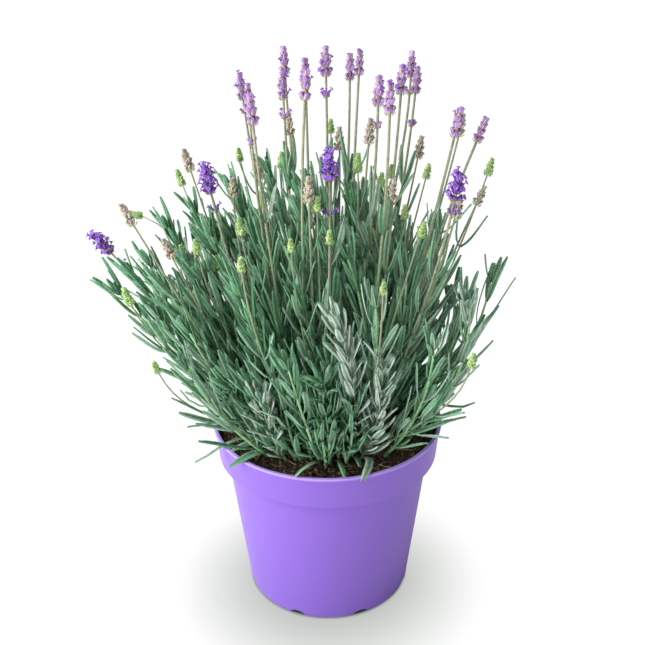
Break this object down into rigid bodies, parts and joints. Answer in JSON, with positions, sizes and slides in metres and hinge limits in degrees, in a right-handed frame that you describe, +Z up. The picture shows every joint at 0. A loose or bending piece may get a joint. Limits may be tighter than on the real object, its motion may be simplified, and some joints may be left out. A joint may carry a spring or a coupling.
{
  "type": "potted lavender plant",
  "caption": "Bushy lavender with narrow grey-green leaves and purple flower spikes on tall bare stems, growing in a round purple plastic nursery pot.",
  "frame": {"origin": "centre of the pot's underside, on the surface that it stands on", "axes": "+Z up along the pot's axis, -Y towards the plant's front, +X to the right as seen from the front"},
  "size_m": [0.3371, 0.3064, 0.4508],
  "materials": {
    "pot_plastic": "satin",
    "potting_soil": "matte",
    "leaf": "matte",
    "stem": "matte",
    "open_flower": "matte",
    "lilac_flower": "matte",
    "faded_flower": "matte",
    "green_bud": "matte"
  },
  "bodies": {
    "root": {"nursery_pot": "pot_plastic", "potting_soil": "potting_soil", "flower_stem_01": "stem", "flower_spike_01": "open_flower", "flower_stem_02": "stem", "flower_spike_02": "green_bud", "flower_stem_03": "stem", "flower_spike_03": "faded_flower", "flower_stem_04": "stem", "flower_spike_04": "green_bud", "flower_stem_05": "stem", "flower_spike_05": "faded_flower", "flower_stem_06": "stem", "flower_spike_06": "open_flower", "flower_stem_07": "stem", "flower_spike_07": "lilac_flower", "flower_stem_08": "stem", "flower_spike_08": "lilac_flower", "flower_stem_09": "stem", "flower_spike_09": "lilac_flower", "flower_stem_10": "stem", "flower_spike_10": "lilac_flower", "flower_stem_11": "stem", "flower_spike_11": "open_flower", "flower_stem_12": "stem", "flower_spike_12": "lilac_flower", "flower_stem_13": "stem", "flower_spike_13": "lilac_flower", "flower_stem_14": "stem", "flower_spike_14": "lilac_flower", "flower_stem_15": "stem", "flower_spike_15": "lilac_flower", "flower_stem_16": "stem", "flower_spike_16": "open_flower", "flower_stem_17": "stem", "flower_spike_17": "faded_flower", "flower_stem_18": "stem", "flower_spike_18": "green_bud", "leafy_shoot_01": "leaf", "leafy_shoot_02": "leaf", "leafy_shoot_03": "leaf", "leafy_shoot_04": "leaf", "leafy_shoot_05": "leaf", "leafy_shoot_06": "leaf", "leafy_shoot_07": "leaf", "leafy_shoot_08": "leaf", "leafy_shoot_09": "leaf", "leafy_shoot_10": "leaf", "leafy_shoot_11": "leaf", "leafy_shoot_12": "leaf", "leafy_shoot_13": "leaf", "leafy_shoot_14": "leaf", "leafy_shoot_15": "leaf", "leafy_shoot_16": "leaf", "leafy_shoot_17": "leaf", "leafy_shoot_18": "leaf", "leafy_shoot_19": "leaf", "leafy_shoot_20": "leaf", "leafy_shoot_21": "leaf", "leafy_shoot_22": "leaf"}
  },
  "joints": []
}
